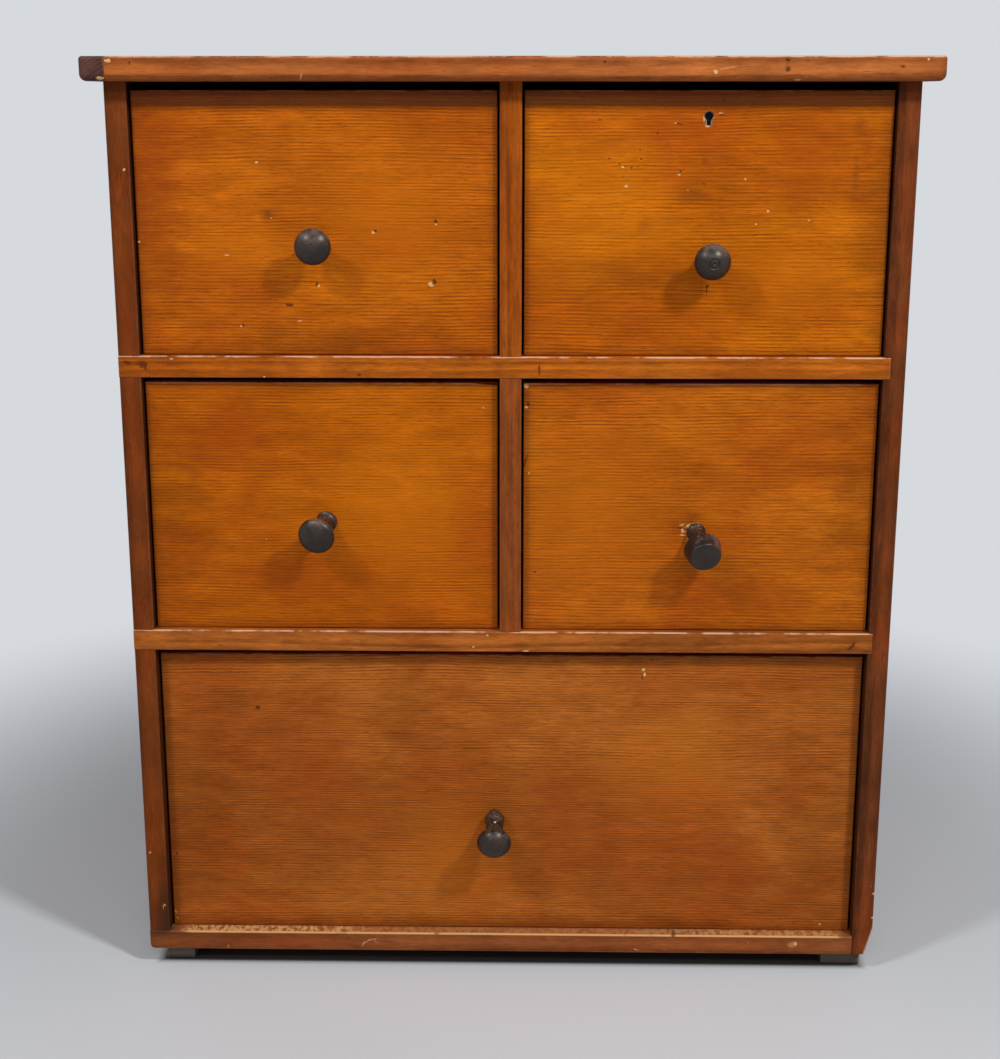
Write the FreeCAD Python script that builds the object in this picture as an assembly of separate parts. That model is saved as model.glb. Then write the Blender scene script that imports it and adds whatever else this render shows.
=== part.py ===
import FreeCAD, Part
import math
import os

from FreeCAD import Rotation, Vector

# A small pine chest of five drawers: two short drawers over two short drawers over one
# wide drawer, in a plain carcass with an overhanging top and two skids under the bottom.
# +X is the chest's right as it is looked at, +Y is its back and +Z is up. It is drawn with
# the front edges of its sides at Y 0, and is moved at the end so that the origin lies on
# the floor, in the middle of the whole chest with its knobs.

# Carcass, in millimetres
carcass_width = 610.0
carcass_depth = 400.0
skid_height = 16.0
bottom_thickness = 16.0
side_thickness = 17.0
rail_thickness = 17.0
rail_depth = 62.0
back_rail_depth = 30.0
divider_thickness = 17.0
divider_depth = 58.0
edge_rounding = 0.8
side_edge_rounding = 1.5

# Joints of the carcass
lap_depth = 22.0
upper_housing = 5.0
lower_housing = 3.0
stub_thickness = 6.0
stub_length = 8.0
divider_stub_thickness = 9.0
divider_stub_length = 5.0
divider_stub_setback = 8.0

# Top
top_thickness = 18.0
top_front_overhang = 18.0
top_side_overhang = 13.5
top_upper_rounding = 2.5
top_lower_rounding = 5.0
top_corner_rounding = 3.5
end_strip_width = 19.5
tongue_thickness = 6.0
tongue_length = 8.0

# Back, runners, guides and stops
back_thickness = 10.0
back_rebate = 9.0
back_board_count = 3
back_board_gap = 1.0
runner_width = 42.0
centre_runner_width = 84.0
guide_height = 20.0
stop_width = 32.0
stop_length = 24.0
stop_thickness = 5.0
stop_inset = 70.0

# Skids, and the wear at the foot of the carcass
left_skid_width = 23.5
right_skid_width = 32.5
left_skid_inset = 11.5
right_skid_inset = 8.0
skid_setback = 10.0
skid_toe = 3.0
bottom_end_rounding = 4.0
chip_height = 24.0
chip_width = 6.5
chip_depth = 40.0

# Cut nails
nail_head_width = 5.0
nail_head_thickness = 1.2
nail_shank_width = 2.4
nail_length = 32.0
nail_inset = 34.0

# Drawers
side_clearance = 1.5
running_clearance = 0.3
front_thickness = 18.0
front_rounding = 1.2
drawer_side_thickness = 10.0
drawer_back_thickness = 10.0
drawer_rear_clearance = 12.0
side_drop = 2.0
back_drop = 6.0
panel_thickness = 6.0
panel_height = 8.0
groove_depth = 5.0
upper_front_height = 199.5
middle_front_height = 201.0
lower_front_height = 244.0
upper_gap = 6.2
middle_gap = 4.7
lower_gap = 6.2
upper_recess = 5.5
middle_recess = 6.5
lower_recess = 11.0
worn_corner_width = 22.0
worn_corner_drop = 2.0

# Dovetails: the lap is the wood of the front left before the tails
lap = 5.0
pin_neck = 6.0
tail_slope = 1.0 / 6.0

# Knobs
tenon_radius = 5.5
knob_seat = 6.0
ring_width = 1.2
ring_depth = 0.5
hollow_depth = 0.8
knob_nail_radius = 0.9
knob_nail_head_radius = 1.5
knob_nail_head_thickness = 0.8
knob_nail_length = 24.0
knob_nail_rise = 0.3

# Lock of the upper right drawer
lock_width = 56.0
lock_height = 36.0
lock_plate = 2.0
selvedge_depth = 11.0
case_width = 40.0
case_height = 32.0
case_depth = 10.0
case_wall = 1.2
bolt_width = 17.4
bolt_foot_width = 30.0
bolt_thickness = 5.0
bolt_clearance = 0.3
bolt_throw = 10.0
bolt_tail = 4.0
strike_clearance = 1.0
strike_depth = 5.0
talon_width = 12.0
talon_height = 11.0
keyhole_drop = 19.0
keyhole_radius = 3.2
keyhole_slot_width = 3.2
keyhole_slot_drop = 6.6
liner_wall = 0.7
screw_head_radius = 2.6
screw_head_height = 1.5
screw_radius = 1.3
screw_length = 12.0
screw_inset = 4.0

# Heights and planes that follow from the sizes above. Each row's opening is as high as
# its drawer fronts, with the clearance that they run on and the gap left over them.
lower_opening = running_clearance + lower_front_height + lower_gap
middle_opening = running_clearance + middle_front_height + middle_gap
upper_opening = running_clearance + upper_front_height + upper_gap
half_width = carcass_width / 2
inner_half = half_width - side_thickness
half_divider = divider_thickness / 2
bottom_floor = skid_height + bottom_thickness
lower_rail_under = bottom_floor + lower_opening
middle_floor = lower_rail_under + rail_thickness
upper_rail_under = middle_floor + middle_opening
upper_floor = upper_rail_under + rail_thickness
top_under = upper_floor + upper_opening
back_plane = carcass_depth - back_thickness
back_rail_front = back_plane - back_rail_depth
drawer_end = back_plane - drawer_rear_clearance
beyond = 1.0


def block(x, y, z):
    """A board or a cutter between two limits along each axis."""
    size = (x[1] - x[0], y[1] - y[0], z[1] - z[0])
    return Part.makeBox(*size, Vector(x[0], y[0], z[0]))


def prism(corners, travel):
    """A polygon given by its corners, pushed along a vector."""
    outline = Part.makePolygon(corners + corners[:1])
    return Part.Face(outline).extrude(travel)


def rounded(solid, radius, wanted):
    """The solid with the edges that pass a test rounded."""
    edges = [edge for edge in solid.Edges if wanted(edge.BoundBox)]
    return solid.makeFillet(radius, edges)


def joined(solids):
    """Touching solids made one, without seams in their flat faces."""
    return solids[0].fuse(solids[1:]).removeSplitter()


def near(value, target):
    return abs(value - target) < 1e-4


# Levels that carry drawers: their floor height and how deep they are housed in the sides
levels = {
    "upper": (upper_rail_under, upper_housing),
    "lower": (lower_rail_under, lower_housing),
}


def stub(x, y, under, thickness):
    """A stub tenon in the middle of a board's thickness."""
    middle = under + thickness / 2
    return block(x, y, (middle - stub_thickness / 2, middle + stub_thickness / 2))


def runner(x, under):
    """A runner between the front rail and the back rail, stub tenoned into both."""
    body = block(x, (rail_depth, back_rail_front), (under, under + rail_thickness))
    tenon_x = (x[0] + stub_length, x[1] - stub_length)
    tenon_y = (rail_depth - stub_length, back_rail_front + stub_length)
    return joined([body, stub(tenon_x, tenon_y, under, rail_thickness)])


def divider_stubs(under, height):
    """The stub tenons at a divider's foot and head."""
    x = (-divider_stub_thickness / 2, divider_stub_thickness / 2)
    y = (divider_stub_setback, divider_depth - divider_stub_setback)
    foot = block(x, y, (under - divider_stub_length, under))
    head = block(x, y, (under + height, under + height + divider_stub_length))
    return [foot, head]


def divider(under, height):
    """The upright between two drawers, at the front only."""
    x = (-half_divider, half_divider)
    post = block(x, (0, divider_depth), (under, under + height))
    post = rounded(post, edge_rounding, lambda box: near(box.YMax, 0) and box.ZLength > box.XLength)
    return joined([post] + divider_stubs(under, height))


def build_level(name):
    """The rail, runners and back rail that carry the two drawers above them."""
    under, housing = levels[name]
    z = (under, under + rail_thickness)
    housed = inner_half + housing
    left_runner = runner((-housed, -inner_half + runner_width), under)
    right_runner = runner((inner_half - runner_width, housed), under)
    centre_runner = runner((-centre_runner_width / 2, centre_runner_width / 2), under)
    runners = [left_runner, centre_runner, right_runner]

    rail = block((-housed, housed), (0, rail_depth), z)
    lap_end = block((-half_width, -inner_half), (0, lap_depth), z)
    rail = joined([rail, lap_end])
    rail = rounded(rail, edge_rounding, lambda box: near(box.YMax, 0) and box.XLength > lap_depth)
    rail = rail.cut(runners)

    back_rail = block((-housed, housed), (back_rail_front, back_plane), z).cut(runners)
    return {
        name + "_rail": rail,
        name + "_left_runner": left_runner,
        name + "_centre_runner": centre_runner,
        name + "_right_runner": right_runner,
        name + "_back_rail": back_rail,
    }


def build_dividers(nodes):
    """Both dividers, with mortises for their stubs in the rails above and below."""
    spans = {"upper": (upper_floor, upper_opening), "lower": (middle_floor, middle_opening)}
    for name, (under, height) in spans.items():
        nodes[name + "_divider"] = divider(under, height)
    stubs = divider_stubs(*spans["upper"]) + divider_stubs(*spans["lower"])
    for name in ("upper_rail", "lower_rail"):
        nodes[name] = nodes[name].cut(stubs)
    return stubs


def centre_guide(under):
    """The strip between two drawers behind the divider, standing on the centre runner."""
    x = (-half_divider, half_divider)
    return block(x, (divider_depth, back_rail_front), (under, under + guide_height))


def build_sides(nodes):
    """The two sides, grooved for the rails and runners and rebated for the back."""
    left = block((-half_width, -inner_half), (0, carcass_depth), (bottom_floor, top_under))
    right = block((inner_half, half_width), (0, carcass_depth), (skid_height, top_under))
    front_edges = lambda box: near(box.YMax, 0) and box.ZLength > box.XLength
    left = rounded(left, side_edge_rounding, front_edges)
    right = rounded(right, side_edge_rounding, front_edges)

    for under, housing in levels.values():
        z = (under, under + rail_thickness)
        y = (-beyond, back_plane)
        left = left.cut(block((-inner_half - housing, -inner_half + beyond), y, z))
        left = left.cut(block((-half_width - beyond, -inner_half), (-beyond, lap_depth), z))
        right = right.cut(block((inner_half - beyond, inner_half + housing), y, z))

    rebate_y = (back_plane, carcass_depth + beyond)
    rebate_z = (skid_height - beyond, top_under + beyond)
    left = left.cut(block((-inner_half - back_rebate, -inner_half + beyond), rebate_y, rebate_z))
    right = right.cut(block((inner_half - beyond, inner_half + back_rebate), rebate_y, rebate_z))

    # The lower corner of the right side is knocked off
    chip = Part.makePolygon([
        Vector(half_width, 0, skid_height + chip_height),
        Vector(half_width - chip_width, 0, skid_height),
        Vector(half_width, chip_depth, skid_height),
        Vector(half_width, 0, skid_height + chip_height),
    ])
    away = Vector(chip_height * chip_depth, -chip_width * chip_height, -chip_width * chip_depth)
    away.normalize()
    nodes["left_side"] = left
    nodes["right_side"] = right.cut(Part.Face(chip).extrude(away * chip_height))


def build_bottom(nodes):
    """The bottom board runs under the left side and butts against the right side."""
    x = (-half_width, inner_half)
    board = block(x, (0, back_plane), (skid_height, bottom_floor))
    lower_end = lambda box: near(box.XMax, -half_width) and near(box.ZMax, skid_height)
    board = rounded(board, bottom_end_rounding, lower_end)
    top_front = lambda box: near(box.YMax, 0) and near(box.ZMin, bottom_floor)
    nodes["bottom_board"] = rounded(board, edge_rounding, top_front)


def build_skids(nodes):
    """Two strips under the bottom board, from front to back."""
    left_x = -half_width + left_skid_inset
    right_x = half_width - right_skid_inset
    spans = [(left_x, left_x + left_skid_width), (right_x - right_skid_width, right_x)]
    skids = []
    for x in spans:
        skid = block(x, (skid_setback, back_plane - skid_setback), (0, skid_height))
        ends = [edge for edge in skid.Edges if near(edge.BoundBox.YLength, 0)]
        toes = [edge for edge in ends if near(edge.BoundBox.ZMax, 0)]
        skids.append(skid.makeChamfer(skid_toe, toes))
    nodes["skids"] = Part.makeCompound(skids)


def build_top(nodes, stubs, strike):
    """The top with its rounded edge, and the separate strip across its left end."""
    half_top = half_width + top_side_overhang
    strip_edge = -half_top + end_strip_width
    front = -top_front_overhang
    z = (top_under, top_under + top_thickness)
    whole = block((-half_top, half_top), (front, carcass_depth), z)
    whole = rounded(whole, top_corner_rounding, lambda box: near(box.YMax, front) and near(box.XLength, 0))
    shows = lambda box: box.YMin < carcass_depth - beyond and near(box.ZLength, 0)
    whole = rounded(whole, top_lower_rounding, lambda box: shows(box) and near(box.ZMin, z[0]))
    whole = rounded(whole, top_upper_rounding, lambda box: shows(box) and near(box.ZMin, z[1]))

    middle = (z[0] + z[1]) / 2
    tongue_z = (middle - tongue_thickness / 2, middle + tongue_thickness / 2)
    tongue_y = (front + tongue_length, carcass_depth)
    tongue = block((strip_edge - tongue_length, strip_edge), tongue_y, tongue_z)
    left_of_joint = block((-half_top - beyond, strip_edge), (front - beyond, carcass_depth + beyond), z)
    board = joined([whole.cut(left_of_joint), tongue])
    nodes["top_board"] = board.cut(stubs + [strike])
    nodes["top_left_end"] = whole.common(left_of_joint).cut(tongue)


def build_back(nodes):
    """Wide boards laid across the back, in the rebates of the sides."""
    half_back = inner_half + back_rebate
    height = top_under - skid_height
    board_height = (height - back_board_gap * (back_board_count - 1)) / back_board_count
    for number in range(back_board_count):
        under = skid_height + number * (board_height + back_board_gap)
        span = (under, under + board_height)
        board = block((-half_back, half_back), (back_plane, carcass_depth), span)
        nodes["back_board_" + str(number + 1)] = board


def cut_nail(place, rotation):
    """A cut nail with its head at a place, pointing down before it is turned."""
    half_head = nail_head_width / 2
    half_shank = nail_shank_width / 2
    head = block((-half_head, half_head), (-half_head, half_head), (-nail_head_thickness, 0))
    shank_z = (-nail_length, -nail_head_thickness)
    shank = block((-half_shank, half_shank), (-half_shank, half_shank), shank_z)
    nail = joined([head, shank])
    nail.Placement = FreeCAD.Placement(place, rotation)
    return nail


def build_nails(nodes):
    """Nails through the top, the back boards and the right side.

    Each has its own hole in every board that it meets."""
    into_back = Rotation(Vector(1, 0, 0), -90)
    from_right = Rotation(Vector(0, 1, 0), 90)
    down = Rotation()
    side_middle = half_width - side_thickness / 2
    nails = []
    for x in (-side_middle, side_middle):
        for y in (nail_inset, carcass_depth / 2, back_plane - nail_inset):
            nails.append(cut_nail(Vector(x, y, top_under + top_thickness), down))
    rebate_middle = inner_half + back_rebate / 2
    for number in range(back_board_count):
        box = nodes["back_board_" + str(number + 1)].BoundBox
        for x in (-rebate_middle, rebate_middle):
            for z in (box.ZMin + nail_inset, box.ZMax - nail_inset):
                nails.append(cut_nail(Vector(x, carcass_depth, z), into_back))
    for y in (nail_inset, carcass_depth / 2, back_plane - nail_inset):
        place = Vector(half_width, y, skid_height + bottom_thickness / 2)
        nails.append(cut_nail(place, from_right))

    boards = ["top_board", "left_side", "right_side", "bottom_board", "upper_back_rail", "lower_back_rail"]
    boards += ["back_board_" + str(number + 1) for number in range(back_board_count)]
    for name in boards:
        met = [nail for nail in nails if nail.BoundBox.intersect(nodes[name].BoundBox)]
        if met:
            nodes[name] = nodes[name].cut(met)
    nodes["nails"] = Part.makeCompound(nails)


def drawer_stop(middle, recess, under):
    """A thin block on a rail that the back of a drawer's front comes up against."""
    y = recess + front_thickness + running_clearance
    x = (middle - stop_width / 2, middle + stop_width / 2)
    return block(x, (y, y + stop_length), (under, under + stop_thickness))


def tails(x, z, count, root, tip):
    """Dovetails in a board's end: narrow at the root, wide at the tip, between half pins."""
    pitch = (z[1] - z[0]) / count
    tip_half = (pitch - pin_neck) / 2
    root_half = tip_half - abs(tip - root) * tail_slope
    made = []
    for number in range(count):
        middle = z[0] + (number + 0.5) * pitch
        made.append(prism([
            Vector(x[0], root, middle - root_half),
            Vector(x[0], root, middle + root_half),
            Vector(x[0], tip, middle + tip_half),
            Vector(x[0], tip, middle - tip_half),
        ], Vector(x[1] - x[0], 0, 0)))
    return made


def build_drawer(x, under, height, recess, tail_count):
    """A drawer's boards: lapped dovetails at the front and through dovetails at the back."""
    base = under + running_clearance
    crown = base + height
    inner_face = recess + front_thickness
    side_top = crown - side_drop
    back_z = (base + panel_height + panel_thickness, crown - back_drop)
    back_y = (drawer_end - drawer_back_thickness, drawer_end)
    side_spans = {
        "left_side": (x[0], x[0] + drawer_side_thickness),
        "right_side": (x[1] - drawer_side_thickness, x[1]),
    }

    panel_x = (x[0] + drawer_side_thickness - groove_depth, x[1] - drawer_side_thickness + groove_depth)
    panel_z = (base + panel_height, base + panel_height + panel_thickness)
    panel = block(panel_x, (inner_face - groove_depth, drawer_end), panel_z)

    front = block(x, (recess, inner_face), (base, crown))
    front = rounded(front, front_rounding, lambda box: near(box.YMax, recess))
    back = block(x, back_y, back_z)
    boards = {}
    for name, span in side_spans.items():
        front_tails = tails(span, (base, side_top), tail_count, inner_face, recess + lap)
        rear_tails = tails(span, back_z, tail_count, back_y[0], back_y[1])
        rear_pins = block(span, back_y, back_z).cut(rear_tails)
        side = block(span, (inner_face, drawer_end), (base, side_top))
        side = joined([side] + front_tails).cut([rear_pins, panel])
        front = front.cut(front_tails)
        back = back.cut(rear_tails)
        boards["drawer_" + name] = side
    boards["drawer_front"] = front.cut(panel)
    boards["drawer_back"] = back
    boards["drawer_bottom"] = panel
    return boards


def line(start, end):
    """A straight edge of a knob's outline, between points given as distance out and radius."""
    return Part.makeLine(*[Vector(radius, -out, 0) for out, radius in (start, end)])


def on_circle(centre, radius, angle):
    """A point of a circle in a knob's outline. Angle 0 is straight out of the drawer."""
    return centre[0] + radius * math.cos(angle), centre[1] + radius * math.sin(angle)


def turn(centre, radius, first, last):
    """An arc of a knob's outline, from one angle of its circle to another."""
    angles = (first, (first + last) / 2, last)
    points = [on_circle(centre, radius, angle) for angle in angles]
    return Part.Arc(*[Vector(away, -out, 0) for out, away in points]).toShape()


def hollow(start, depth):
    """A shallow round hollow from a point of the outline to the knob's axis."""
    radius = (start[1] ** 2 + depth ** 2) / (2 * depth)
    centre = (start[0] - depth + radius, 0)
    return turn(centre, radius, math.pi - math.asin(start[1] / radius), math.pi)


def flared_foot(knob):
    """From the drawer's face the foot flares in to the neck. Gives where the neck starts."""
    cove = knob["foot_cove"]
    flare = knob["collar"] - knob["neck"]
    neck_start = math.sqrt(2 * cove * flare - flare ** 2)
    centre = (neck_start, knob["neck"] + cove)
    first = -math.pi + math.acos(neck_start / cove)
    return [turn(centre, cove, first, -math.pi / 2)], neck_start


def beaded_foot(knob):
    """A ball against the drawer's face, with a cove between it and the neck."""
    ball = knob["bead"]
    cove = knob["foot_cove"]
    middle = math.sqrt(ball ** 2 - knob["collar"] ** 2)
    neck_start = middle + math.sqrt((ball + cove) ** 2 - (knob["neck"] + cove) ** 2)
    first = math.pi - math.atan2(knob["collar"], middle)
    meets = math.atan2(knob["neck"] + cove, neck_start - middle)
    rounds = turn((middle, 0), ball, first, meets)
    hollows = turn((neck_start, knob["neck"] + cove), cove, meets - math.pi, -math.pi / 2)
    return [rounds, hollows], neck_start


def underside(knob, rim_centre):
    """The cove from the neck to the rim. Gives where the neck ends and where the rim starts."""
    cove = knob["cove"]
    rise = knob["neck"] + cove - rim_centre[1]
    neck_end = rim_centre[0] - math.sqrt((cove + knob["rim"]) ** 2 - rise ** 2)
    meets = math.atan2(rise, neck_end - rim_centre[0])
    centre = (neck_end, knob["neck"] + cove)
    return turn(centre, cove, -math.pi / 2, meets - math.pi), neck_end, meets


def domed_head(knob):
    """A mushroom head: its rim runs smoothly into a dome whose middle is on the axis."""
    dome = knob["head"] + knob["flatness"]
    dome_centre = (knob["length"] - dome, 0)
    across = knob["head"] - knob["rim"]
    rim_centre = (dome_centre[0] + math.sqrt((dome - knob["rim"]) ** 2 - across ** 2), across)
    cove, neck_end, rim_start = underside(knob, rim_centre)
    dome_start = math.atan2(across, rim_centre[0] - dome_centre[0])
    edges = [cove, turn(rim_centre, knob["rim"], rim_start, dome_start)]
    if "ring" not in knob:
        return edges + [turn(dome_centre, dome, dome_start, 0)], neck_end

    # A turned ring is cut into the dome, round a small hollow in its middle
    ring_outside = math.asin((knob["ring"] + ring_width / 2) / dome)
    ring_inside = math.asin((knob["ring"] - ring_width / 2) / dome)
    hollow_edge = math.asin(knob["hollow"] / dome)
    ring_bottom = on_circle(dome_centre, dome - ring_depth, (ring_outside + ring_inside) / 2)
    edges += [
        turn(dome_centre, dome, dome_start, ring_outside),
        line(on_circle(dome_centre, dome, ring_outside), ring_bottom),
        line(ring_bottom, on_circle(dome_centre, dome, ring_inside)),
        turn(dome_centre, dome, ring_inside, hollow_edge),
        hollow(on_circle(dome_centre, dome, hollow_edge), hollow_depth),
    ]
    return edges, neck_end


def drum_head(knob):
    """A head with a flat face, whose side is raked from the rim in to the face's edge."""
    edge = knob["edge"]
    rim_centre = (knob["length"] - knob["side"], knob["head"] - knob["rim"])
    edge_centre = (knob["length"] - edge, knob["face"] - edge)
    cove, neck_end, rim_start = underside(knob, rim_centre)
    apart = (rim_centre[0] - edge_centre[0], rim_centre[1] - edge_centre[1])
    lies = math.atan2(apart[1], apart[0])
    square = lies - math.acos((edge - knob["rim"]) / math.hypot(*apart))
    edges = [
        cove,
        turn(rim_centre, knob["rim"], rim_start, square),
        line(on_circle(rim_centre, knob["rim"], square), on_circle(edge_centre, edge, square)),
        turn(edge_centre, edge, square, 0),
        line((knob["length"], edge_centre[1]), (knob["length"], 0)),
    ]
    return edges, neck_end


def knob_outline(knob):
    """The edges of a knob's outline, from its seat on the drawer to its tip."""
    foot, neck_start = beaded_foot(knob) if "bead" in knob else flared_foot(knob)
    head, neck_end = drum_head(knob) if "face" in knob else domed_head(knob)
    neck = line((neck_start, knob["neck"]), (neck_end, knob["neck"]))
    return foot + [neck] + head


def build_knob(knob, place):
    """A turned knob, leaning as it does, whose tenon goes through the drawer's front."""
    foot = Vector(knob["collar"], 0, 0)
    tip = Vector(0, -knob["length"], 0)
    if "hollow" in knob:
        tip = knob_outline(knob)[-1].Vertexes[-1].Point
    inner = [
        Part.makeLine(tip, Vector(0, knob_seat, 0)),
        Part.makeLine(Vector(0, knob_seat, 0), Vector(foot.x, knob_seat, 0)),
        Part.makeLine(Vector(foot.x, knob_seat, 0), foot),
    ]
    outline = Part.Wire(knob_outline(knob) + inner)
    head = Part.Face(outline).revolve(Vector(0, 0, 0), Vector(0, 1, 0), 360)
    reach = 2 * front_thickness
    tenon = Part.makeCylinder(tenon_radius, reach, Vector(0, -beyond, 0), Vector(0, 1, 0))
    lean = Rotation(Vector(0, 0, 1), knob["lean"])
    droop = Rotation(Vector(1, 0, 0), knob["droop"])
    for piece in (head, tenon):
        piece.Placement = FreeCAD.Placement(place, lean.multiply(droop))
    wide = carcass_width
    behind_face = block((-wide, wide), (place.y, place.y + wide), (0, 2 * wide))
    behind_front = block((-wide, wide), (place.y + front_thickness, place.y + wide), (0, 2 * wide))
    return head.cut(behind_face).fuse(tenon.cut(behind_front))


def keyhole_prism(middle, radius, slot_width, drop, y):
    """The shape of a keyhole, pushed from one depth to another."""
    depth = y[1] - y[0]
    round_part = Part.makeCylinder(radius, depth, Vector(middle.x, y[0], middle.z), Vector(0, 1, 0))
    slot_x = (middle.x - slot_width / 2, middle.x + slot_width / 2)
    slot = block(slot_x, y, (middle.z - drop, middle.z))
    return joined([round_part, slot])


def lock_screw(place):
    """A countersunk screw driven from the inside of the drawer towards its face."""
    towards_face = Vector(0, -1, 0)
    head = Part.makeCone(screw_head_radius, screw_radius, screw_head_height, place, towards_face)
    start = place + towards_face * screw_head_height
    shank_length = screw_length - screw_head_height
    return joined([head, Part.makeCylinder(screw_radius, shank_length, start, towards_face)])


def build_lock(front, middle_x, crown, recess):
    """A till lock let into the back of a drawer front: case, bolt, screws and keyhole liner."""
    inner_face = recess + front_thickness
    plate_under = crown - lock_height
    keyhole = Vector(middle_x, recess, crown - keyhole_drop)
    half_lock = lock_width / 2
    half_case = case_width / 2
    case_front = inner_face - case_depth
    case_under = crown - case_height

    plate = block((middle_x - half_lock, middle_x + half_lock),
                  (inner_face - lock_plate, inner_face), (plate_under, crown))
    selvedge = block((middle_x - half_lock, middle_x + half_lock),
                     (inner_face - selvedge_depth, inner_face), (crown - lock_plate, crown))
    case = block((middle_x - half_case, middle_x + half_case),
                 (case_front, inner_face), (case_under, crown))
    envelope = joined([plate, selvedge, case])

    bolt_front = case_front + case_wall + bolt_clearance
    bolt_y = (bolt_front, bolt_front + bolt_thickness)
    cavity = block((middle_x - half_case + case_wall, middle_x + half_case - case_wall),
                   (case_front + case_wall, bolt_y[1] + bolt_clearance),
                   (case_under + case_wall, crown - lock_plate))
    half_slot = bolt_width / 2 + bolt_clearance
    slot = block((middle_x - half_slot, middle_x + half_slot),
                 (case_front + case_wall, bolt_y[1] + bolt_clearance),
                 (crown - lock_plate - beyond, crown + beyond))
    key_way = keyhole_prism(keyhole, keyhole_radius, keyhole_slot_width, keyhole_slot_drop,
                            (case_front - beyond, case_front + case_wall + beyond))
    screws = []
    for x in (middle_x - half_lock + screw_inset, middle_x + half_lock - screw_inset):
        for z in (plate_under + screw_inset, crown - lock_plate - screw_inset):
            screws.append(lock_screw(Vector(x, inner_face, z)))
    lock_case = envelope.cut([cavity, slot, key_way] + screws)

    foot_top = crown - lock_plate - bolt_throw - bolt_clearance
    foot_under = case_under + case_wall + bolt_tail
    bolt_foot = block((middle_x - bolt_foot_width / 2, middle_x + bolt_foot_width / 2),
                      bolt_y, (foot_under, foot_top))
    bolt_head = block((middle_x - bolt_width / 2, middle_x + bolt_width / 2), bolt_y, (foot_under, crown))
    talon = block((middle_x - talon_width / 2, middle_x + talon_width / 2),
                  (bolt_y[0] - beyond, bolt_y[1] + beyond),
                  (foot_under - beyond, foot_under + talon_height))
    lock_bolt = joined([bolt_foot, bolt_head]).cut(talon)

    liner_y = (recess, case_front)
    liner_hole = keyhole_prism(keyhole, keyhole_radius, keyhole_slot_width, keyhole_slot_drop, liner_y)
    liner_outside = keyhole_prism(keyhole, keyhole_radius + liner_wall, keyhole_slot_width + 2 * liner_wall,
                                  keyhole_slot_drop + liner_wall, liner_y)
    strike_y = (bolt_y[0] - strike_clearance, bolt_y[1] + strike_clearance)
    half_strike = bolt_width / 2 + strike_clearance
    strike = block((middle_x - half_strike, middle_x + half_strike), strike_y,
                   (top_under - beyond, top_under + strike_depth))
    made = {
        "lock_case": lock_case,
        "lock_bolt": lock_bolt,
        "lock_screws": Part.makeCompound(screws),
        "keyhole_liner": liner_outside.cut(liner_hole),
    }
    return made, front.cut([envelope, liner_outside] + screws), strike


def build_knob_nail(knob_place):
    """The nail that was driven through the bottom drawer's knob to hold it."""
    towards_face = Vector(0, 1, 0)
    start = Vector(knob_place.x, knob_place.y - knob_nail_length / 2, knob_place.z - knob_nail_rise)
    head = Part.makeCylinder(knob_nail_head_radius, knob_nail_head_thickness, start, towards_face)
    shank_start = start + towards_face * knob_nail_head_thickness
    shank_length = knob_nail_length - knob_nail_head_thickness
    return joined([head, Part.makeCylinder(knob_nail_radius, shank_length, shank_start, towards_face)])


# Each drawer: its opening along X, its floor, front height, recess and number of tails
left_opening = (-inner_half, -half_divider)
right_opening = (half_divider, inner_half)
full_opening = (-inner_half, inner_half)
drawers = {
    "upper_left": {
        "opening": left_opening, "floor": upper_floor, "height": upper_front_height,
        "recess": upper_recess, "tails": 3,
    },
    "upper_right": {
        "opening": right_opening, "floor": upper_floor, "height": upper_front_height,
        "recess": upper_recess, "tails": 3,
    },
    "middle_left": {
        "opening": left_opening, "floor": middle_floor, "height": middle_front_height,
        "recess": middle_recess, "tails": 3,
    },
    "middle_right": {
        "opening": right_opening, "floor": middle_floor, "height": middle_front_height,
        "recess": middle_recess, "tails": 3,
    },
    "bottom": {
        "opening": full_opening, "floor": bottom_floor, "height": lower_front_height,
        "recess": lower_recess, "tails": 4,
    },
}

# Each knob was turned by hand and no two are alike: how far right of the front's middle and
# below it the knob stands, the degrees by which it leans aside and droops, and then the
# radii and lengths of its foot, neck and head
knobs = {
    "upper_left": {
        "aside": -0.9, "below": 13.7, "lean": 0.0, "droop": 2.5,
        "collar": 8.3, "foot_cove": 4.0, "neck": 6.6, "cove": 7.0,
        "head": 13.9, "rim": 5.0, "flatness": 4.0, "length": 31.0,
    },
    "upper_right": {
        "aside": 2.2, "below": 24.2, "lean": 4.5, "droop": 3.8,
        "collar": 8.3, "foot_cove": 4.0, "neck": 6.8, "cove": 7.0,
        "head": 13.9, "rim": 5.5, "flatness": 2.0, "length": 31.0,
        "ring": 3.8, "hollow": 1.3,
    },
    "middle_left": {
        "aside": 1.0, "below": 12.0, "lean": -10.5, "droop": 10.5,
        "collar": 8.8, "foot_cove": 4.0, "neck": 6.9, "cove": 7.0,
        "head": 14.6, "rim": 4.5, "flatness": 7.0, "length": 34.0,
    },
    "middle_right": {
        "aside": -0.2, "below": 19.6, "lean": 8.5, "droop": 20.0,
        "collar": 7.8, "foot_cove": 4.0, "neck": 6.9, "cove": 7.0,
        "head": 14.8, "rim": 3.0, "side": 12.0, "face": 12.6, "edge": 1.2, "length": 34.0,
    },
    "bottom": {
        "aside": -12.8, "below": 19.5, "lean": 0.0, "droop": 19.5,
        "collar": 5.8, "bead": 8.2, "foot_cove": 4.0, "neck": 7.2, "cove": 10.0,
        "head": 14.1, "rim": 6.5, "flatness": 1.0, "length": 43.0,
    },
}


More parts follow.
